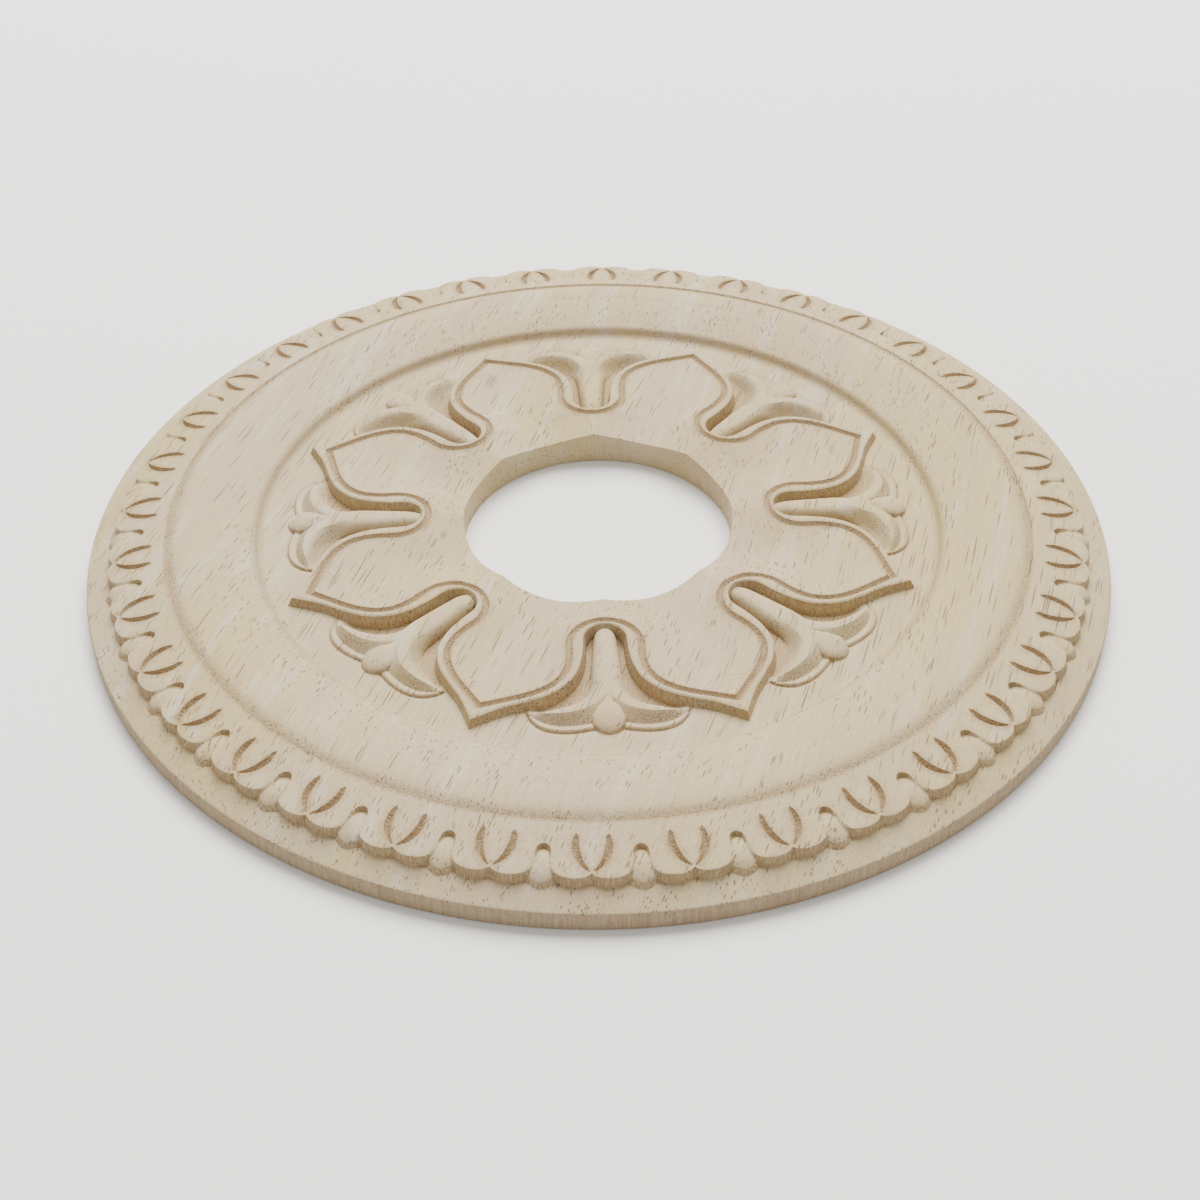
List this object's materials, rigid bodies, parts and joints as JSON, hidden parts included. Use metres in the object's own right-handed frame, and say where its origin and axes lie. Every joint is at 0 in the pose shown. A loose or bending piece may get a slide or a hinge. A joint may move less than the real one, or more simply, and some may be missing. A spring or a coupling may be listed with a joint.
{
  "type": "ceiling medallion",
  "caption": "Round carved wooden ceiling medallion with a flat back, a plain centre hole, a petalled rosette and a leaf-and-dart border.",
  "frame": {"origin": "centre of the hole in the plane of the flat back", "axes": "+Z out of the carved face along the disc's axis; +X and +Y each run through the middle of a lily flower"},
  "size_m": [0.2998, 0.2998, 0.014],
  "materials": {
    "pale_wood": "sanded bare wood, unfinished, with tool marks on the carved walls"
  },
  "bodies": {
    "root": {"medallion": "pale_wood"}
  },
  "joints": []
}
